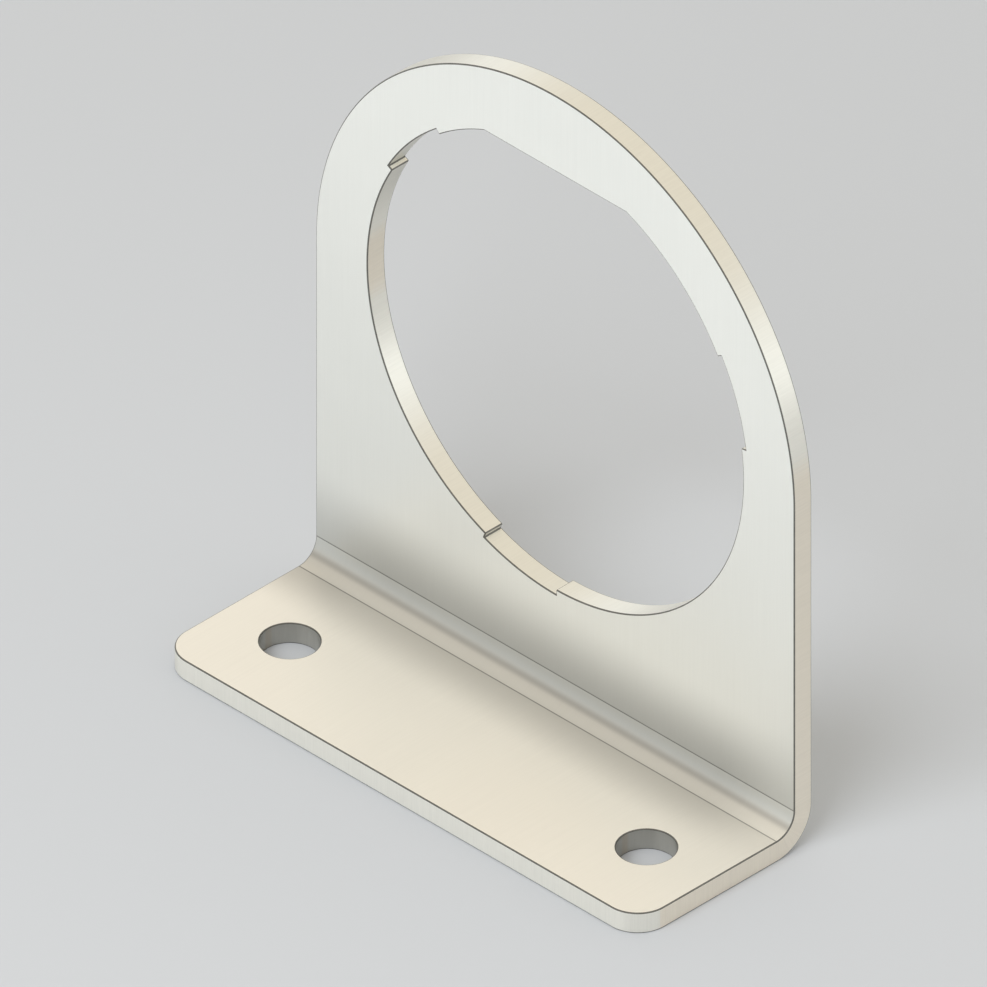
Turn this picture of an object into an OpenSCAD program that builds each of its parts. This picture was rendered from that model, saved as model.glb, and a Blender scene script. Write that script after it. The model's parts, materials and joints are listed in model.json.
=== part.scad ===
// Connector mounting bracket, folded from one sheet.
// A foot with two fixing holes turns up, over a press-brake bend, into an upright with a full-round
// top. The upright carries a keyed cut-out: a round hole with one flat and three shallow notches.
//
// X runs along the bend, Y from the foot's front edge to the upright, Z upwards.
// The origin is midway between the two foot holes, on the underside of the foot.

/* [Sheet] */
// Thickness of the sheet
sheet_t = 2; // [1:0.25:3]
// Radius on the inside of the bend
bend_r = 2; // [0.5:0.25:5]
// Width of the bracket, measured along the bend
width = 55; // [50:0.5:80]

/* [Foot] */
// Depth of the foot, from its front edge to the upright's back face
foot_depth = 20; // [17:0.5:40]
// Radius of the foot's two front corners
foot_corner_r = 3; // [1:0.5:6]
// Diameter of the fixing holes
foot_hole_d = 5; // [2.5:0.1:7]
// Distance between the centres of the fixing holes
foot_hole_spacing = 41; // [20:0.5:45]
// Distance from the foot's front edge to the line of the fixing holes
foot_hole_inset = 8; // [5:0.5:11]

/* [Upright] */
// Height of the cut-out's centre above the underside of the foot
cutout_height = 34; // [29:0.5:60]
// Diameter of the round part of the cut-out
cutout_d = 43.2; // [30:0.1:50]
// How far the flat at the top comes inside the round
cutout_flat_depth = 1.6; // [0.2:0.1:5]

/* [Notches] */
// Number of notches round the cut-out
notch_count = 3; // [1:1:6]
// How far each notch is cut out beyond the round
notch_depth = 0.5; // [0.2:0.1:2]
// Angle that each notch takes up, seen from the cut-out's centre
notch_angle = 22; // [5:1:50]
// Direction of the first notch, anticlockwise from +X, seen from the foot's side
notch_start = 19.25; // [0:0.25:45]

/* [Hidden] */
$fn = 96;

// Satin sheet metal
metal = [0.89, 0.88, 0.83];

// The foot's front edge, the upright's back face and the top of the round, in the bracket's frame
front_y = -foot_hole_inset;
back_y = front_y + foot_depth;
top_r = width / 2;
top_z = cutout_height + top_r;

// Both skins of the sheet turn about one line, the centre of the bend
bend_outer_r = bend_r + sheet_t;
bend_y = back_y - bend_outer_r;
bend_z = bend_outer_r;

// The cut-out is concentric with the round top
cutout_r = cutout_d / 2;
cutout_flat_height = cutout_r - cutout_flat_depth;
notch_r = cutout_r + notch_depth;

// How far a cut or an uncut blank runs on past the outline that trims it
overrun = 1;

// Side view of all that lies inside one skin of the sheet: in front of the upright, above the foot
// and inside the skin's turn of radius r at the bend
module inside_skin(r) {
    reach_y = bend_y - front_y + overrun;
    reach_z = top_z - bend_z + overrun;
    translate([bend_y - reach_y, bend_z]) square([reach_y + r, reach_z]);
    translate([bend_y - reach_y, bend_z - r]) square([reach_y, reach_z]);
    translate([bend_y, bend_z]) circle(r = r);
}

// Side view of the folded sheet, longer at both ends than the finished bracket
module fold_profile() {
    difference() {
        inside_skin(bend_outer_r);
        inside_skin(bend_r);
    }
}

// One notch as a slice of a disc, with its straight sides on the disc's radii
module notch_slice(r, angle) {
    intersection() {
        circle(r = r);
        polygon([[0, 0], [2 * r, -2 * r * tan(angle / 2)], [2 * r, 2 * r * tan(angle / 2)]]);
    }
}

// Front view of the keyed cut-out, about its own centre
module cutout_outline() {
    difference() {
        circle(r = cutout_r);
        translate([-cutout_r, cutout_flat_height]) square([2 * cutout_r, cutout_r]);
    }
    for (i = [0 : notch_count - 1])
        rotate(notch_start + i * 360 / notch_count) notch_slice(notch_r, notch_angle);
}

// Front view of the bracket: straight sides, the full-round top and the cut-out
module front_outline() {
    difference() {
        union() {
            translate([-width / 2, -overrun]) square([width, cutout_height + overrun]);
            translate([0, cutout_height]) circle(r = top_r);
        }
        translate([0, cutout_height]) cutout_outline();
    }
}

// Top view of the bracket: the front edge with its two round corners, and the fixing holes
module top_outline() {
    side_length = foot_depth - foot_corner_r + overrun;
    difference() {
        union() {
            translate([-width / 2, front_y + foot_corner_r]) square([width, side_length]);
            translate([foot_corner_r - width / 2, front_y])
                square([width - 2 * foot_corner_r, foot_depth]);
            for (side = [-1, 1])
                translate([side * (width / 2 - foot_corner_r), front_y + foot_corner_r])
                    circle(r = foot_corner_r);
        }
        for (side = [-1, 1])
            translate([side * foot_hole_spacing / 2, 0]) circle(d = foot_hole_d);
    }
}

// The sheet has the fold's profile, trimmed and pierced as the front and the top view show
module bracket() {
    color(metal) intersection() {
        rotate([90, 0, 90])
            linear_extrude(width + 2 * overrun, center = true) fold_profile();
        translate([0, back_y + overrun, 0]) rotate([90, 0, 0])
            linear_extrude(foot_depth + 2 * overrun) front_outline();
        translate([0, 0, -overrun])
            linear_extrude(top_z + 2 * overrun) top_outline();
    }
}

bracket();
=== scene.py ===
"""Connector mounting bracket: one folded sheet of satin metal on a pale floor.

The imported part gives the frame. The sheet is modelled again at the same sizes, with fine arcs and
broken edges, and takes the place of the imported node. Modelling is in millimetres, and the finished
mesh is brought to metres.
"""

import json
import logging
import math
from collections.abc import Callable, Iterator
from contextlib import contextmanager
from dataclasses import dataclass
from enum import Enum

import bmesh
import bpy
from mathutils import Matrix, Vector

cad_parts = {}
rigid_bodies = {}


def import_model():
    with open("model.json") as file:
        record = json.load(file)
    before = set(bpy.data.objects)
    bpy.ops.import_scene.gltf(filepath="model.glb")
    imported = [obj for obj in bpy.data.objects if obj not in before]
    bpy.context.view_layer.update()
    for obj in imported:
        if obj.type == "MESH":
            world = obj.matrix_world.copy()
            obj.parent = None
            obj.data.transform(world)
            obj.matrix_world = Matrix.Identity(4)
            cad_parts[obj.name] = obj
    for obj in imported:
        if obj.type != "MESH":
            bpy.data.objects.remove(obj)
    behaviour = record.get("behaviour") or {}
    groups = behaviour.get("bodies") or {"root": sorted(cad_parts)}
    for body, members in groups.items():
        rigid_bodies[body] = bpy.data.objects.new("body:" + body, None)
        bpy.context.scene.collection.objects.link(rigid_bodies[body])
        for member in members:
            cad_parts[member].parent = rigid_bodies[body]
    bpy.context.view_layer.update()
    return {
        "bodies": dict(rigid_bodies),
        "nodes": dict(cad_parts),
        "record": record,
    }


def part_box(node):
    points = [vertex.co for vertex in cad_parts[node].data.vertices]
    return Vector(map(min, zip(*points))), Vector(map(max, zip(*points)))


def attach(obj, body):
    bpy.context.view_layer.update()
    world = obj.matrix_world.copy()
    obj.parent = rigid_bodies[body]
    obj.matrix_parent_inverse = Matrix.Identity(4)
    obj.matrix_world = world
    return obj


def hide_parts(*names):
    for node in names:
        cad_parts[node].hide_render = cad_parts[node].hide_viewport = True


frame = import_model()

MM = 0.001
Socket = bpy.types.NodeSocket
Tone = tuple[float, float, float]

log = logging.getLogger("bracket")


class Side(Enum):
    """The two sides of the foot, as signs along X."""

    LEFT = -1
    RIGHT = 1


@dataclass(frozen=True)
class SheetSizes:
    """Sizes of the folded sheet in millimetres, in the part's own frame."""

    width: float
    front_y: float
    back_y: float
    top_z: float
    thickness: float
    cutout_z: float
    cutout_r: float
    foot_hole_r: float
    foot_hole_spacing: float
    bend_r: float = 2.0
    foot_corner_r: float = 3.0
    cutout_flat: float = 20.0
    notch_r: float = 22.1
    notch_count: int = 3
    notch_angle: float = 22.0
    notch_start: float = 19.25

    @classmethod
    def from_frame(cls, node: str) -> "SheetSizes":
        """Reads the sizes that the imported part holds.

        Args:
            node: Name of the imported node.

        Returns:
            The sizes, with those that the record doesn't state at their own values.
        """
        low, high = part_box(node)
        mounts = {mount["name"]: mount for mount in frame["record"]["mounts"]}
        cutout = mounts["connector_cutout"]
        holes = mounts["foot_holes"]["dims"]
        return cls(
            width=(high.x - low.x) / MM,
            front_y=low.y / MM,
            back_y=high.y / MM,
            top_z=high.z / MM,
            thickness=cutout["dims"]["length_mm"],
            cutout_z=cutout["pos_m"][2] / MM,
            cutout_r=cutout["dims"]["r_mm"],
            foot_hole_r=holes["hole_r_mm"],
            foot_hole_spacing=holes["spacing_x_mm"],
        )

    @property
    def bend_outer_r(self) -> float:
        """Radius on the outside of the bend."""
        return self.bend_r + self.thickness

    @property
    def bend_y(self) -> float:
        """Y of the line that the bend turns about."""
        return self.back_y - self.bend_outer_r

    @property
    def bend_z(self) -> float:
        """Z of the line that the bend turns about."""
        return self.bend_outer_r

    @property
    def upright_y(self) -> float:
        """Y of the middle of the upright's thickness."""
        return self.back_y - self.thickness / 2


class Bench:
    """A mesh on the bench, shaped by Blender's own operators.

    Attributes:
        piece: The object that is worked on.
    """

    MERGE = 1e-4

    def __init__(self, piece: bpy.types.Object) -> None:
        """Takes an object that exists."""
        self.piece = piece

    @classmethod
    def rectangle(
        cls, name: str, centre: Vector, size: tuple[float, float], turn: float = 0.0
    ) -> "Bench":
        """Adds a rectangle that faces up, or is turned about X.

        Args:
            name: The object's name.
            centre: Its middle.
            size: Its length along X and its length across.
            turn: Turn about X in degrees; 90 makes it face -Y.

        Returns:
            The rectangle on the bench.
        """
        bpy.ops.object.select_all(action="DESELECT")
        rotation = (math.radians(turn), 0, 0)
        bpy.ops.mesh.primitive_plane_add(size=1, location=centre, rotation=rotation)
        bpy.context.active_object.scale = (*size, 1)
        return cls._named(name)

    @classmethod
    def plug(
        cls,
        name: str,
        centre: Vector,
        radius: float,
        depth: float,
        sides: int,
        turn: tuple[float, float],
    ) -> "Bench":
        """Adds a cylinder that stands along Z, or is turned about X and then about Y.

        Args:
            name: The object's name.
            centre: Its middle.
            radius: Its radius.
            depth: Its length.
            sides: How many straight sides stand for the circle.
            turn: Turns about X and Y in degrees.

        Returns:
            The cylinder on the bench.
        """
        bpy.ops.object.select_all(action="DESELECT")
        bpy.ops.mesh.primitive_cylinder_add(
            vertices=sides,
            radius=radius,
            depth=depth,
            end_fill_type="NGON",
            location=centre,
            rotation=(math.radians(turn[0]), math.radians(turn[1]), 0),
        )
        return cls._named(name)

    @classmethod
    def _named(cls, name: str) -> "Bench":
        """Names the new primitive and puts its place into its mesh."""
        piece = bpy.context.active_object
        piece.name = name
        piece.data.name = name
        bpy.ops.object.transform_apply(location=True, rotation=True, scale=True)
        return cls(piece)

    def hold(self) -> None:
        """Makes this the one selected and active object."""
        bpy.ops.object.select_all(action="DESELECT")
        self.piece.select_set(True)
        bpy.context.view_layer.objects.active = self.piece

    @contextmanager
    def editing(self) -> Iterator[None]:
        """Opens the mesh for editing, and closes it again."""
        self.hold()
        bpy.ops.object.mode_set(mode="EDIT")
        yield
        bpy.ops.object.mode_set(mode="OBJECT")

    def pick_all(self) -> None:
        """Selects the whole mesh."""
        bpy.ops.mesh.select_all(action="SELECT")

    def pick_faces(self, wanted: Callable[[Vector, Vector], bool]) -> None:
        """Selects faces in edit mode.

        Args:
            wanted: Says from a face's middle and normal whether it is wanted.
        """
        bpy.ops.mesh.select_mode(type="FACE")
        bpy.ops.mesh.select_all(action="DESELECT")
        mesh = bmesh.from_edit_mesh(self.piece.data)
        for face in mesh.faces:
            face.select_set(wanted(face.calc_center_median(), face.normal))
        bmesh.update_edit_mesh(self.piece.data)

    def pick_edges(self, wanted: Callable[[Vector, Vector], bool]) -> None:
        """Selects edges in edit mode.

        Args:
            wanted: Says from an edge's two ends whether it is wanted.
        """
        bpy.ops.mesh.select_mode(type="EDGE")
        bpy.ops.mesh.select_all(action="DESELECT")
        mesh = bmesh.from_edit_mesh(self.piece.data)
        for edge in mesh.edges:
            edge.select_set(wanted(edge.verts[0].co, edge.verts[1].co))
        bmesh.update_edit_mesh(self.piece.data)

    def extrude(self, by: Vector) -> None:
        """Extrudes what is selected in edit mode.

        Args:
            by: How far, and which way.
        """
        bpy.ops.mesh.extrude_region_move(TRANSFORM_OT_translate={"value": by})

    def face_outwards(self) -> None:
        """Turns every face of a closed mesh outwards, in edit mode."""
        self.pick_all()
        bpy.ops.mesh.normals_make_consistent(inside=False)

    def apply(self, kind: str, **settings: object) -> None:
        """Adds a modifier and applies it.

        Args:
            kind: The modifier's type.
            settings: Its settings by name.
        """
        self.hold()
        modifier = self.piece.modifiers.new(kind.lower(), kind)
        for name, value in settings.items():
            setattr(modifier, name, value)
        bpy.ops.object.modifier_apply(modifier=modifier.name)

    def cut_away(self, tool: "Bench") -> None:
        """Cuts a tool's shape out of the piece, and throws the tool away.

        Args:
            tool: A closed mesh.
        """
        self.apply("BOOLEAN", operation="DIFFERENCE", object=tool.piece, solver="EXACT")
        bpy.data.objects.remove(tool.piece)

    def to_metres(self) -> None:
        """Brings a mesh modelled in millimetres to metres, with its object at the origin."""
        self.hold()
        self.piece.scale = (MM, MM, MM)
        bpy.ops.object.transform_apply(location=True, rotation=True, scale=True)


class Value:
    """A number that varies over a surface, written as a Python expression.

    Attributes:
        graph: The graph that holds its nodes.
        socket: The output that carries it.
    """

    def __init__(self, graph: "Graph", socket: Socket) -> None:
        """Wraps an output socket."""
        self.graph = graph
        self.socket = socket

    def math(self, operation: str, *others: "Value | float") -> "Value":
        """Adds a Math node.

        Args:
            operation: The node's operation.
            others: The further inputs, in order.

        Returns:
            The result.
        """
        inputs = dict(enumerate((self, *others)))
        made = self.graph.node("Math", {"operation": operation}, inputs)
        return Value(self.graph, made.outputs[0])

    def _flipped(self, operation: str, first: float) -> "Value":
        """Adds a Math node whose first input is a plain number."""
        made = self.graph.node("Math", {"operation": operation}, {0: first, 1: self})
        return Value(self.graph, made.outputs[0])

    def __add__(self, other: "Value | float") -> "Value":
        """Adds."""
        return self.math("ADD", other)

    def __radd__(self, other: float) -> "Value":
        """Adds to a plain number."""
        return self._flipped("ADD", other)

    def __sub__(self, other: "Value | float") -> "Value":
        """Subtracts."""
        return self.math("SUBTRACT", other)

    def __rsub__(self, other: float) -> "Value":
        """Subtracts from a plain number."""
        return self._flipped("SUBTRACT", other)

    def __mul__(self, other: "Value | float") -> "Value":
        """Multiplies."""
        return self.math("MULTIPLY", other)

    def __rmul__(self, other: float) -> "Value":
        """Multiplies a plain number."""
        return self._flipped("MULTIPLY", other)

    def __truediv__(self, other: "Value | float") -> "Value":
        """Divides."""
        return self.math("DIVIDE", other)

    def __rtruediv__(self, other: float) -> "Value":
        """Divides a plain number."""
        return self._flipped("DIVIDE", other)

    def __pow__(self, other: "Value | float") -> "Value":
        """Raises to a power."""
        return self.math("POWER", other)

    def __rpow__(self, other: float) -> "Value":
        """Raises a plain number."""
        return self._flipped("POWER", other)

    def __neg__(self) -> "Value":
        """Turns the sign."""
        return self.math("MULTIPLY", -1.0)

    def __abs__(self) -> "Value":
        """Drops the sign."""
        return self.math("ABSOLUTE")

    def at_least(self, low: float) -> "Value":
        """The larger of this and a number."""
        return self.math("MAXIMUM", low)

    def at_most(self, high: float) -> "Value":
        """The smaller of this and a number."""
        return self.math("MINIMUM", high)

    def rise(self, start: float, end: float) -> "Value":
        """Rises smoothly from 0 to 1, or falls where start is above end.

        Args:
            start: Where the result is 0.
            end: Where the result is 1.

        Returns:
            The smooth step.
        """
        made = self.graph.node(
            "MapRange",
            {"interpolation_type": "SMOOTHSTEP"},
            {"Value": self, "From Min": start, "From Max": end, "To Min": 0.0, "To Max": 1.0},
        )
        return Value(self.graph, made.outputs["Result"])


class Graph:
    """A node tree that is filled from Python expressions.

    Attributes:
        tree: The node tree.
    """

    NOISE_DETAIL = 2.0
    NOISE_ROUGHNESS = 0.5
    NOISE_MIDDLE = 0.5
    # Numbers of the Mix node's colour sockets, which share their names with its other kinds
    MIX_SHARE, MIX_LOW, MIX_HIGH = 0, 6, 7
    MIX_RESULT = 2

    def __init__(self, tree: bpy.types.NodeTree) -> None:
        """Empties the tree."""
        self.tree = tree
        tree.nodes.clear()

    def node(
        self,
        kind: str,
        settings: dict[str, object] | None = None,
        inputs: dict[str | int, object] | None = None,
    ) -> bpy.types.Node:
        """Adds a node.

        Args:
            kind: The node's type, without the word ShaderNode before it.
            settings: Its settings by name, set first. A ramp's stops are pairs of place and tone.
            inputs: Its inputs by name or number: plain values, sockets or Values.

        Returns:
            The new node.
        """
        made = self.tree.nodes.new(f"ShaderNode{kind}")
        for name, value in (settings or {}).items():
            if name == "stops":
                self._set_stops(made.color_ramp, value)
            else:
                setattr(made, name, value)
        for name, value in (inputs or {}).items():
            source = value.socket if isinstance(value, Value) else value
            if isinstance(source, Socket):
                self.tree.links.new(source, made.inputs[name])
            else:
                made.inputs[name].default_value = source
        return made

    @staticmethod
    def _set_stops(ramp: bpy.types.ColorRamp, stops: list[tuple[float, Tone]]) -> None:
        """Gives a ramp its stops."""
        while len(ramp.elements) < len(stops):
            ramp.elements.new(1.0)
        for element, (place, tone) in zip(ramp.elements, stops):
            element.position = place
            element.color = (*tone, 1.0)

    def value(self, socket: Socket) -> Value:
        """Wraps an output socket."""
        return Value(self, socket)

    def split(self, vector: Socket) -> tuple[Value, Value, Value]:
        """The three parts of a vector."""
        parts = self.node("SeparateXYZ", inputs={0: vector}).outputs
        return self.value(parts[0]), self.value(parts[1]), self.value(parts[2])

    def join(self, x: Value | float, y: Value | float, z: Value | float) -> Socket:
        """A vector of three parts."""
        return self.node("CombineXYZ", inputs={0: x, 1: y, 2: z}).outputs[0]

    def noise(self, place: Socket, scale: float) -> Value:
        """Smooth noise about zero, from about -0.5 to 0.5.

        Args:
            place: Where the noise is read.
            scale: How many waves it has in a unit.

        Returns:
            The noise.
        """
        made = self.node(
            "TexNoise",
            {"noise_dimensions": "3D"},
            {
                "Vector": place,
                "Scale": scale,
                "Detail": self.NOISE_DETAIL,
                "Roughness": self.NOISE_ROUGHNESS,
            },
        )
        return self.value(made.outputs[0]) - self.NOISE_MIDDLE

    def tone(self, share: Value, low: Socket | Tone, high: Socket | Tone) -> Socket:
        """Mixes two tones.

        Args:
            share: 0 gives the first tone, and 1 the second.
            low: The first tone.
            high: The second tone.

        Returns:
            The mixed tone.
        """
        ends = [end if isinstance(end, Socket) else (*end, 1.0) for end in (low, high)]
        inputs = {self.MIX_SHARE: share, self.MIX_LOW: ends[0], self.MIX_HIGH: ends[1]}
        return self.node("Mix", {"data_type": "RGBA"}, inputs).outputs[self.MIX_RESULT]

    def shaded(self, tone: Socket, shade: Value) -> Socket:
        """A tone times a number."""
        grey = self.join(shade, shade, shade)
        made = self.node("VectorMath", {"operation": "MULTIPLY"}, {0: tone, 1: grey})
        return made.outputs[0]


@dataclass(frozen=True)
class SatinSheet:
    """The finish of the sheet: satin skins with a fine grain, and cut walls with a harder shine.

    Lengths are in millimetres and tones are linear. A range holds where a change starts and where
    it ends.
    """

    # The two skin tones are painted light: warmer on the foot, cooler on the upright
    foot_skin_painted_warm_light: Tone = (0.895, 0.858, 0.785)
    upright_skin_painted_cool_light: Tone = (0.912, 0.921, 0.882)
    wall: Tone = (0.868, 0.855, 0.790)
    # The side wall tone is a painted warm reflection on walls that face sideways
    side_wall_painted_reflection: Tone = (0.868, 0.805, 0.695)
    skin_roughness: float = 0.42
    wall_roughness: float = 0.38
    skin_metallic: float = 0.52
    wall_metallic: float = 0.82
    mill_edge_metallic: float = 0.625
    mill_edge_range: tuple[float, float] = (0.80, 0.99)
    wall_range: tuple[float, float] = (0.5, 0.1)
    side_wall_range: tuple[float, float] = (0.983, 0.998)
    upright_skin_range: tuple[float, float] = (0.45, 0.75)
    inner_skin_share: float = 0.3
    grain_width: float = 0.16
    grain_length: float = 9.0
    grain_depth: float = 0.0010
    grain_shade: float = 0.05
    grain_roughness: float = 0.06
    cloud_size: float = 14.0
    cloud_shade: float = 0.05
    cloud_roughness: float = 0.08
    striation_width: float = 0.14
    striation_drift: float = 0.04
    striation_depth: float = 0.0030
    striation_shade: float = 0.10
    brake_line_width: float = 0.12
    brake_line_depth: float = 0.006
    brake_line_dulling: float = 0.65
    # A painted shade stripe runs along the middle of the inner bend
    mid_bend_shade_width: float = 0.75
    mid_bend_painted_shade_strength: float = 0.25
    # Painted shade in the crease, fading towards its open ends
    foot_crease_shade_reach: float = 5.5
    foot_crease_painted_shade: float = 0.27
    upright_crease_shade_reach: float = 7.6
    upright_crease_painted_shade: float = 0.41
    crease_roughness: float = 0.2
    crease_shade_end_reach: float = 9.0
    foot_right_end_shade_fade: float = 0.85
    foot_left_end_shade_gain: float = 0.35
    upright_end_shade_fade: float = 0.33
    bend_blend: float = 0.05
    # A painted highlight on the bend, and painted shade in its half towards the upright
    bend_painted_highlight: float = 0.078
    upper_bend_painted_shade: float = 0.80
    # Painted shade low on the upright's inner skin, lightening towards its top
    upright_shade_reach: float = 52.0
    upright_painted_shade: float = 0.135
    # Painted shade on the walls of the foot's holes
    bore_range: tuple[float, float] = (1.3, 1.15)
    bore_painted_shade: float = 0.48
    # Painted shade on cut walls that face down
    down_wall_range: tuple[float, float] = (0.10, 0.45)
    down_wall_painted_shade: float = 0.19

    def build(self, name: str, sizes: SheetSizes) -> bpy.types.Material:
        """Makes the material.

        Args:
            name: The material's name.
            sizes: Sizes of the sheet that wears it.

        Returns:
            The new material.
        """
        material = bpy.data.materials.new(name)
        material.use_nodes = True
        graph = Graph(material.node_tree)
        place = graph.node("TexCoord").outputs["Object"]
        metres_x, metres_y, metres_z = graph.split(place)
        x = metres_x / MM
        y = metres_y / MM
        from_bend_y = y - sizes.bend_y
        from_bend_z = metres_z / MM - sizes.bend_z

        # The sheet's own directions: through it, and along it from the foot up the upright
        out_y = from_bend_y.at_least(0.0)
        out_z = from_bend_z.at_most(0.0)
        out = (out_y * out_y + out_z * out_z) ** 0.5
        through = out - sizes.bend_r
        down_foot = -from_bend_y.at_most(0.0)
        up_upright = from_bend_z.at_least(0.0)
        bend_middle_r = sizes.bend_r + sizes.thickness / 2
        turned = out_y.math("ARCTAN2", -out_z)
        along = turned * bend_middle_r + up_upright - down_foot

        # How squarely a spot faces out of the sheet: 1 on its skins, 0 on its cut walls
        facing = graph.node("NewGeometry").outputs["True Normal"]
        normal_x, normal_y, normal_z = graph.split(facing)
        squareness = abs((normal_y * out_y + normal_z * out_z) / out)
        on_wall = squareness.rise(*self.wall_range)

        streaks = graph.join(x / self.grain_width, along / self.grain_length, through)
        grain = graph.noise(streaks, 1.0)
        cloud = graph.noise(graph.join(x, along, through), 1 / self.cloud_size)
        across = graph.join(x, along, through * self.striation_drift)
        striation = graph.noise(across, 1 / self.striation_width)

        # The inner skin has a line where the bend starts and ends, and a broad soft painted shade
        # along its middle, a dark stripe that stands in for a reflection
        inner_skin = through.rise(sizes.thickness * self.inner_skin_share, 0.0)
        bend_length = bend_middle_r * math.pi / 2
        brake_lines = self._brake_lines(along, bend_length) * inner_skin
        mid_bend_painted_shade = abs(along - bend_length / 2).rise(self.mid_bend_shade_width, 0.0) * inner_skin

        # Painted shade darkens the crease, less towards the open ends: on the foot it fades towards
        # the right-hand end and is deepest at the left-hand one. A painted highlight brightens the
        # bend itself a little, with painted shade in the half towards the upright
        turned_share = turned / (math.pi / 2)
        on_bend = (down_foot + up_upright).rise(self.bend_blend, 0.0)
        upper_bend = turned_share * turned_share * (1.0 - turned_share)
        right_end = (sizes.width / 2 - x).rise(self.crease_shade_end_reach, 0.0)
        left_end = (sizes.width / 2 + x).rise(self.crease_shade_end_reach, 0.0)
        foot_fade = right_end * self.foot_right_end_shade_fade - left_end * self.foot_left_end_shade_gain
        upright_fade = (right_end + left_end) * self.upright_end_shade_fade
        foot_crease = down_foot.rise(self.foot_crease_shade_reach, 0.0) * (1.0 - turned_share)
        upright_crease = up_upright.rise(self.upright_crease_shade_reach, 0.0) * turned_share
        painted_crease_shade = inner_skin * (
            foot_crease * (1.0 - foot_fade) * self.foot_crease_painted_shade
            + upright_crease * (1.0 - upright_fade) * self.upright_crease_painted_shade
            + on_bend * (upper_bend * self.upper_bend_painted_shade - self.bend_painted_highlight)
        )
        # Painted shade low on the upright, lightening towards its top
        lower_upright_painted_shade = turned_share * up_upright.rise(self.upright_shade_reach, 0.0) * inner_skin
        skin_shade = (
            (1.0 + grain * self.grain_shade + cloud * self.cloud_shade)
            * (1.0 - brake_lines * self.brake_line_dulling)
            * (1.0 - mid_bend_painted_shade * self.mid_bend_painted_shade_strength)
            * (1.0 - painted_crease_shade)
            * (1.0 - lower_upright_painted_shade * self.upright_painted_shade)
        )

        # Painted shade darkens the walls of the foot's holes and the cut walls that face down
        wall_shade = (
            (1.0 + striation * self.striation_shade)
            * (1.0 - self._in_bore(x, y, sizes) * self.bore_painted_shade)
            * (1.0 - (-normal_z).rise(*self.down_wall_range) * self.down_wall_painted_shade)
        )
        shade = skin_shade * (1.0 - on_wall) + wall_shade * on_wall

        # Walls that face straight sideways, mostly the two slit sides of the sheet, get a painted
        # warm reflection, and the skins get painted light: warmer on the foot and cooler on the
        # upright
        on_upright = turned_share.rise(*self.upright_skin_range)
        skin = graph.tone(on_upright, self.foot_skin_painted_warm_light, self.upright_skin_painted_cool_light)
        wall = graph.tone(abs(normal_x).rise(*self.side_wall_range), self.wall, self.side_wall_painted_reflection)
        tone = graph.shaded(graph.tone(on_wall, skin, wall), shade)
        roughness = (
            self.skin_roughness
            + on_wall * (self.wall_roughness - self.skin_roughness)
            + grain * self.grain_roughness
            + cloud * self.cloud_roughness
            + painted_crease_shade * self.crease_roughness
        )

        # The foot's front edge is the sheet's own mill edge, with a softer shine than a cut wall
        mill_edge = (-normal_y).rise(*self.mill_edge_range)
        mill_step = self.mill_edge_metallic - self.wall_metallic
        edge_metallic = self.wall_metallic + mill_edge * mill_step
        metallic = self.skin_metallic + on_wall * (edge_metallic - self.skin_metallic)
        skin_relief = grain * self.grain_depth - brake_lines * self.brake_line_depth
        height = skin_relief * (1.0 - on_wall) + striation * self.striation_depth * on_wall
        bump = graph.node("Bump", inputs={"Strength": 1.0, "Distance": MM, "Height": height})
        shader = graph.node(
            "BsdfPrincipled",
            inputs={
                "Base Color": tone,
                "Roughness": roughness,
                "Metallic": metallic,
                "Normal": bump.outputs[0],
            },
        )
        graph.node("OutputMaterial", inputs={"Surface": shader.outputs[0]})
        return material

    def _brake_lines(self, along: Value, bend_length: float) -> Value:
        """The faint lines that the brake's punch leaves where the bend starts and ends.

        Args:
            along: How far along the sheet a spot is, from the start of the bend.
            bend_length: Where the bend ends.

        Returns:
            1 on the lines and 0 elsewhere.
        """
        start = abs(along).rise(self.brake_line_width, 0.0)
        end = abs(along - bend_length).rise(self.brake_line_width, 0.0)
        return start + end

    def _in_bore(self, x: Value, y: Value, sizes: SheetSizes) -> Value:
        """Where the walls of the foot's two punched holes are, which get painted shade.

        Args:
            x: A spot's place across the sheet.
            y: Its place from the line through the holes.
            sizes: Sizes of the sheet.

        Returns:
            1 in and just round the holes, and 0 elsewhere.
        """
        from_hole_x = abs(x) - sizes.foot_hole_spacing / 2
        from_hole = (from_hole_x * from_hole_x + y * y) ** 0.5
        return from_hole.rise(*(sizes.foot_hole_r * share for share in self.bore_range))


@dataclass(frozen=True)
class BrokenEdge:
    """The finish of the broken edges, which the deburring leaves darker than the sheet.

    Lengths are in millimetres and the tone is linear.
    """

    tone: Tone = (0.17, 0.168, 0.155)
    roughness: float = 0.45
    metallic: float = 0.7
    nick_size: float = 0.6
    nick_shade: float = 0.6
    nick_roughness: float = 0.2

    def build(self, name: str) -> bpy.types.Material:
        """Makes the material.

        Args:
            name: The material's name.

        Returns:
            The new material.
        """
        material = bpy.data.materials.new(name)
        material.use_nodes = True
        graph = Graph(material.node_tree)
        place = graph.node("TexCoord").outputs["Object"]
        nicks = graph.noise(place, 1 / (self.nick_size * MM))
        plain = graph.join(*self.tone)
        shader = graph.node(
            "BsdfPrincipled",
            inputs={
                "Base Color": graph.shaded(plain, 1.0 + nicks * self.nick_shade),
                "Roughness": self.roughness + nicks * self.nick_roughness,
                "Metallic": self.metallic,
            },
        )
        graph.node("OutputMaterial", inputs={"Surface": shader.outputs[0]})
        return material


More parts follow.
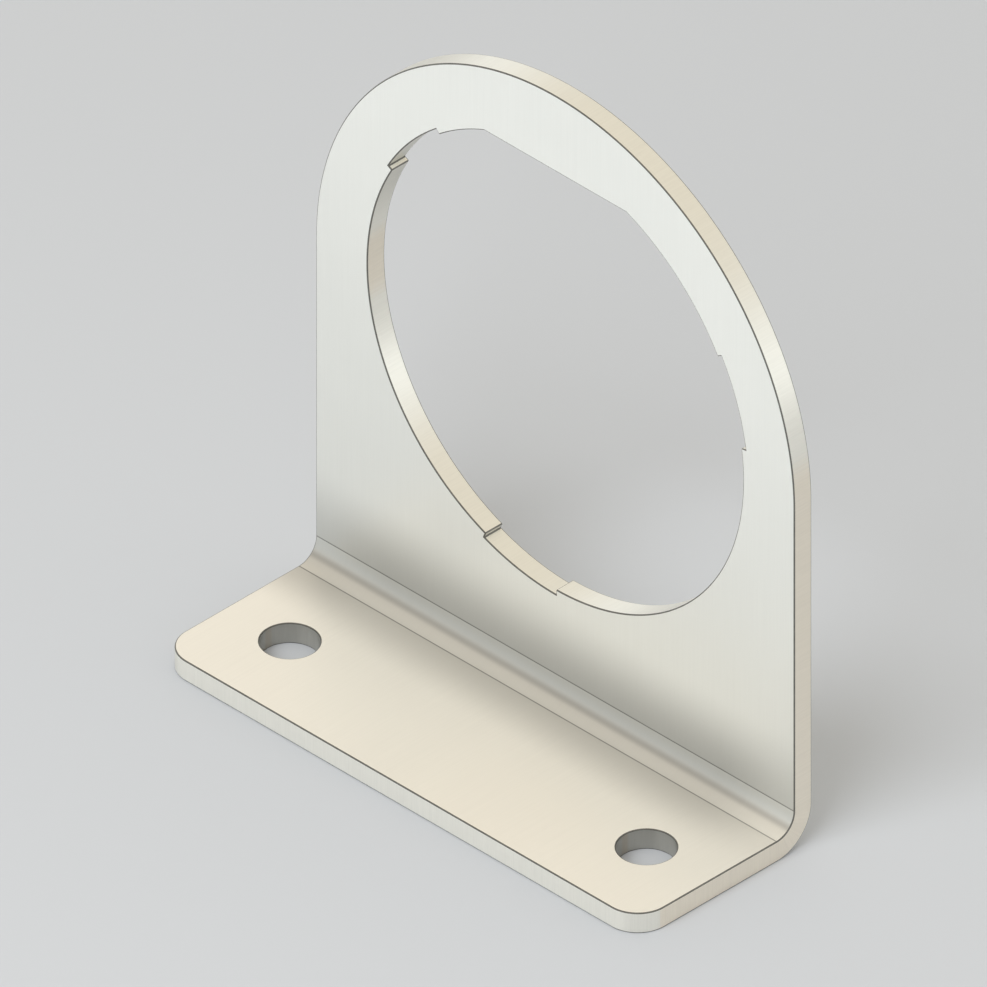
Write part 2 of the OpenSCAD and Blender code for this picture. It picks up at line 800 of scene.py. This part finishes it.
@dataclass(frozen=True)
class PlainFloor:
    """The matt paint of the floor."""

    paint: Tone = (0.555, 0.578, 0.622)
    roughness: float = 0.9

    def build(self, name: str) -> bpy.types.Material:
        """Makes the material.

        Args:
            name: The material's name.

        Returns:
            The new material.
        """
        material = bpy.data.materials.new(name)
        material.use_nodes = True
        graph = Graph(material.node_tree)
        shader = graph.node(
            "BsdfPrincipled",
            inputs={"Base Color": (*self.paint, 1.0), "Roughness": self.roughness},
        )
        graph.node("OutputMaterial", inputs={"Surface": shader.outputs[0]})
        return material


@dataclass
class FoldedSheet:
    """The bracket: a foot, a bend and an upright with its keyed cut-out, as one sheet."""

    sizes: SheetSizes
    finish: SatinSheet
    edge_finish: BrokenEdge
    name: str = "folded_sheet"
    overrun: float = 2.0
    arc_step: float = 1.0
    top_steps: int = 90
    bend_steps: int = 30
    corner_steps: int = 24
    foot_hole_sides: int = 120
    arris: float = 0.10
    arris_steps: int = 3
    arris_from_angle: float = 40.0
    flat_angle: float = 0.05
    flat_weight: int = 100

    ROUND_PROFILE = 0.5
    END_FACE_NORMAL = 0.5

    def build(self) -> bpy.types.Object:
        """Folds, trims, pierces and dresses the sheet.

        Returns:
            The finished piece, in metres.
        """
        sheet = self._folded_strip()
        self._round_corners(sheet)
        sheet.cut_away(self._cutout_plug())
        for side in Side:
            sheet.cut_away(self._foot_hole_plug(side))
        materials = sheet.piece.data.materials
        materials.clear()
        materials.append(self.finish.build("satin_sheet_metal", self.sizes))
        materials.append(self.edge_finish.build("broken_sheet_edge"))
        self._break_edges(sheet, materials.find("broken_sheet_edge"))
        sheet.to_metres()
        return sheet.piece

    def _folded_strip(self) -> Bench:
        """Folds the strip.

        Returns:
            The strip: the foot's end extruded, spun round the bend and extruded up.
        """
        sizes = self.sizes
        strip = Bench.rectangle(
            self.name,
            Vector((0, sizes.front_y, sizes.thickness / 2)),
            (sizes.width, sizes.thickness),
            turn=90,
        )
        with strip.editing():
            strip.pick_all()
            strip.extrude(Vector((0, sizes.bend_y - sizes.front_y, 0)))
            bpy.ops.mesh.spin(
                steps=self.bend_steps,
                angle=math.radians(-90),
                center=(0, sizes.bend_y, sizes.bend_z),
                axis=(1, 0, 0),
            )
            strip.extrude(Vector((0, 0, sizes.top_z - sizes.bend_z)))
            strip.face_outwards()
        return strip

    def _round_corners(self, sheet: Bench) -> None:
        """Rounds the upright's top over its whole width, and the foot's two front corners.

        Args:
            sheet: The folded strip.
        """
        sizes = self.sizes

        def on_one_side(a: Vector, b: Vector) -> bool:
            """Says whether an edge lies in one side face of the strip."""
            return abs(a.x + b.x) > sizes.width - Bench.MERGE

        def at_top(a: Vector, b: Vector) -> bool:
            """Says whether an edge is one of the upright's two top corners."""
            return on_one_side(a, b) and min(a.z, b.z) > sizes.top_z - Bench.MERGE

        def at_front(a: Vector, b: Vector) -> bool:
            """Says whether an edge is one of the foot's two front corners."""
            return on_one_side(a, b) and max(a.y, b.y) < sizes.front_y + Bench.MERGE

        with sheet.editing():
            sheet.pick_edges(at_top)
            self._round_off(sizes.width / 2, self.top_steps)
            sheet.pick_edges(at_front)
            self._round_off(sizes.foot_corner_r, self.corner_steps)
            sheet.pick_all()
            bpy.ops.mesh.remove_doubles(threshold=Bench.MERGE)
            sheet.face_outwards()

    def _round_off(self, radius: float, steps: int) -> None:
        """Rounds the selected corner edges."""
        bpy.ops.mesh.bevel(
            offset=radius,
            segments=steps,
            affect="EDGES",
            profile=self.ROUND_PROFILE,
            clamp_overlap=False,
        )

    def _cutout_plug(self) -> Bench:
        """Makes the plug that cuts the keyed cut-out.

        Returns:
            The plug: a cylinder with one flat, and its side pushed out at each notch.
        """
        sizes = self.sizes
        centre = Vector((0, sizes.upright_y, sizes.cutout_z))
        first_edge = sizes.notch_start - sizes.notch_angle / 2
        plug = Bench.plug(
            "cutout_plug",
            centre,
            sizes.cutout_r,
            sizes.thickness + 2 * self.overrun,
            self._arc_sides(),
            turn=(90, -(first_edge % self.arc_step)),
        )
        pitch = 360 / sizes.notch_count
        reach = sizes.notch_r / sizes.cutout_r

        def in_notch(middle: Vector, normal: Vector) -> bool:
            """Says whether a side face of the plug lies in a notch."""
            angle = math.degrees(math.atan2(middle.z - centre.z, middle.x - centre.x))
            on_side = abs(normal.y) < self.END_FACE_NORMAL
            return on_side and (angle - first_edge) % pitch < sizes.notch_angle

        with plug.editing():
            plug.pick_all()
            bpy.ops.mesh.bisect(
                plane_co=(0, 0, centre.z + sizes.cutout_flat),
                plane_no=(0, 0, 1),
                clear_outer=True,
                use_fill=True,
                threshold=Bench.MERGE,
            )
            plug.pick_faces(in_notch)
            plug.extrude(Vector((0, 0, 0)))
            bpy.ops.transform.resize(value=(reach, 1, reach), center_override=centre)
            plug.face_outwards()
        return plug

    def _foot_hole_plug(self, side: Side) -> Bench:
        """Makes the plug that cuts one fixing hole.

        Args:
            side: The side of the foot that it is on.

        Returns:
            The plug.
        """
        sizes = self.sizes
        return Bench.plug(
            f"foot_hole_plug_{side.name.lower()}",
            Vector((side.value * sizes.foot_hole_spacing / 2, 0, sizes.thickness / 2)),
            sizes.foot_hole_r,
            sizes.thickness + 2 * self.overrun,
            self.foot_hole_sides,
            turn=(0, 0),
        )

    def _break_edges(self, sheet: Bench, edge_material: int) -> None:
        """Takes the sharpness off every cut edge, and keeps the flats flat.

        Args:
            sheet: The trimmed and pierced sheet.
            edge_material: Number of the material that the broken edges wear.
        """
        with sheet.editing():
            sheet.pick_all()
            bpy.ops.mesh.remove_doubles(threshold=Bench.MERGE)
            bpy.ops.mesh.dissolve_limited(angle_limit=math.radians(self.flat_angle))
        sheet.apply(
            "BEVEL",
            width=self.arris,
            segments=self.arris_steps,
            limit_method="ANGLE",
            angle_limit=math.radians(self.arris_from_angle),
            use_clamp_overlap=False,
            material=edge_material,
        )
        with sheet.editing():
            sheet.face_outwards()
        bpy.ops.object.shade_smooth()
        sheet.apply("WEIGHTED_NORMAL", weight=self.flat_weight, keep_sharp=True)

    def _arc_sides(self) -> int:
        """How many straight sides stand for a full circle."""
        return round(360 / self.arc_step)


@dataclass(frozen=True)
class Lamp:
    """A soft box: a rectangle of light that is aimed at the bracket.

    Places and sizes are in metres, and power is in watts. A lamp that isn't in reflections still
    lights what it shines on.
    """

    name: str
    place: tuple[float, float, float]
    size: tuple[float, float]
    power: float
    tone: Tone
    in_reflections: bool = True

    def light(self, target: Vector) -> None:
        """Adds the lamp.

        Args:
            target: The point that it is aimed at.
        """
        data = bpy.data.lights.new(self.name, "AREA")
        data.shape = "RECTANGLE"
        data.size, data.size_y = self.size
        data.energy = self.power
        data.color = self.tone
        lamp = bpy.data.objects.new(self.name, data)
        lamp.location = self.place
        lamp.rotation_euler = (target - Vector(self.place)).to_track_quat("-Z", "Y").to_euler()
        lamp.visible_camera = False
        lamp.visible_glossy = self.in_reflections
        bpy.context.scene.collection.objects.link(lamp)


@dataclass
class Studio:
    """The pale floor, the soft light and the camera."""

    floor_paint: PlainFloor
    floor_size: float = 6.0
    target: tuple[float, float, float] = (0.4832 * MM, 2.4316 * MM, 25.9485 * MM)
    view_from: tuple[float, float, float] = (1.0, -1.0, 1.0)
    view_width: float = 80.235 * MM
    camera_distance: float = 0.6
    clip_range: tuple[float, float] = (0.006, 6.0)
    sky_stops: tuple[tuple[float, Tone], ...] = (
        (0.0, (0.98, 1.0, 1.0)),
        (0.38, (0.87, 0.88, 0.865)),
        (0.54, (0.682, 0.624, 0.524)),
        (1.0, (0.702, 0.648, 0.544)),
    )
    front_sky_strength: float = 0.78
    back_sky_strength: float = 1.13
    back_sky_range: tuple[float, float] = (-0.6, 0.4)
    # The strong box is left out of reflections, where it would clip to white. A weak, wide one in
    # the same place gives the metal its sheen
    lamps: tuple[Lamp, ...] = (
        Lamp("front_soft_box", (0.08, -0.54, 0.59), (0.55, 0.45), 4.0, (0.96, 0.985, 1.0), False),
        Lamp("front_sheen_box", (0.08, -0.54, 0.59), (0.90, 0.75), 1.1, (0.96, 0.985, 1.0)),
        Lamp("back_soft_box", (0.57, 0.40, 0.06), (0.50, 0.16), 0.12, (0.94, 0.99, 1.0)),
    )

    def build(self) -> None:
        """Sets up the stage, the light and the camera."""
        self._lay_floor()
        self._light_sky()
        for lamp in self.lamps:
            lamp.light(Vector(self.target))
            log.info("lamp %s", lamp.name)
        self._place_camera()
        bpy.context.scene.view_settings.view_transform = "Standard"

    def _lay_floor(self) -> None:
        """Lays the floor at the height of the bracket's underside."""
        floor = Bench.rectangle("floor", Vector((0, 0, 0)), (self.floor_size, self.floor_size))
        floor.piece.data.materials.append(self.floor_paint.build("matt_floor_paint"))
        log.info("floor laid")

    def _light_sky(self) -> None:
        """Gives the world a pale horizon and a warm, dimmer ceiling, brighter behind the part."""
        world = bpy.data.worlds.new("soft_room")
        world.use_nodes = True
        graph = Graph(world.node_tree)
        _, depth, height = graph.split(graph.node("TexCoord").outputs["Generated"])
        gain = self.back_sky_strength - self.front_sky_strength
        strength = self.front_sky_strength + depth.rise(*self.back_sky_range) * gain
        above_floor = height.at_least(0.0)
        ramp = graph.node("ValToRGB", {"stops": list(self.sky_stops)}, {"Fac": above_floor})
        sky = graph.node("Background", inputs={"Color": ramp.outputs[0], "Strength": strength})
        graph.node("OutputWorld", inputs={"Surface": sky.outputs[0]})
        bpy.context.scene.world = world

    def _place_camera(self) -> None:
        """Puts the camera on the isometric line of sight."""
        data = bpy.data.cameras.new("camera")
        data.type = "ORTHO"
        data.ortho_scale = self.view_width
        data.clip_start, data.clip_end = self.clip_range
        camera = bpy.data.objects.new("camera", data)
        back = Vector(self.view_from).normalized()
        camera.location = Vector(self.target) + back * self.camera_distance
        camera.rotation_euler = back.to_track_quat("Z", "Y").to_euler()
        bpy.context.scene.collection.objects.link(camera)
        bpy.context.scene.camera = camera


def main() -> None:
    """Builds the studio and the bracket, and reports each."""
    logging.basicConfig(level=logging.INFO, format="%(name)s: %(message)s")
    Studio(PlainFloor()).build()
    node = next(iter(frame["nodes"]))
    piece = FoldedSheet(SheetSizes.from_frame(node), SatinSheet(), BrokenEdge()).build()
    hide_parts(node)
    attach(piece, next(iter(frame["bodies"])))
    log.info("%s: %d faces, stands for %s", piece.name, len(piece.data.polygons), node)


if __name__ == "__main__":
    main()
